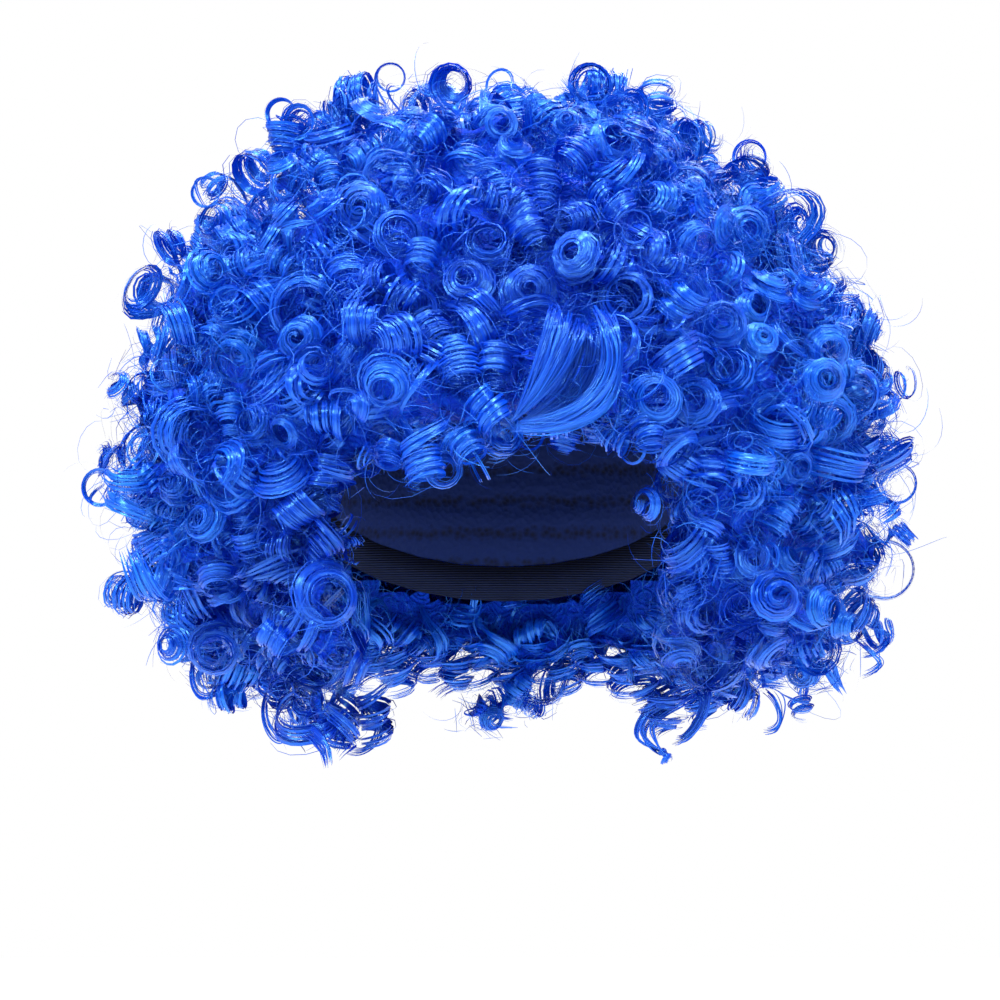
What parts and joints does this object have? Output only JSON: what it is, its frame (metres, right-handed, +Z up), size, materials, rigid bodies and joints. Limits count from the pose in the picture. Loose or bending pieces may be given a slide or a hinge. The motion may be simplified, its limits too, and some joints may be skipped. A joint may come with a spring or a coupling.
{
  "type": "clown wig",
  "caption": "Bushy curly party wig in blue fibre: rows of ringlets and a short fringe on a stretch cap with an elastic edge band.",
  "frame": {"origin": "inside top of the cap, where the top of the wearer's head touches it", "axes": "+Z up, -Y towards the front (the face), +X towards the wig's right as it is seen from the front"},
  "size_m": [0.3158, 0.3115, 0.267],
  "materials": {
    "curly_hair": "glossy synthetic fibre, crimped into ringlets",
    "cap_mesh": "matt stretch net with sewn wefts",
    "elastic": "matt woven elastic"
  },
  "bodies": {
    "root": {"wig_cap": "cap_mesh", "edge_band": "elastic", "crown_curls": "curly_hair", "upper_row_curls": "curly_hair", "lower_row_curls": "curly_hair", "nape_row_curls": "curly_hair", "fringe_curls": "curly_hair"}
  },
  "joints": []
}
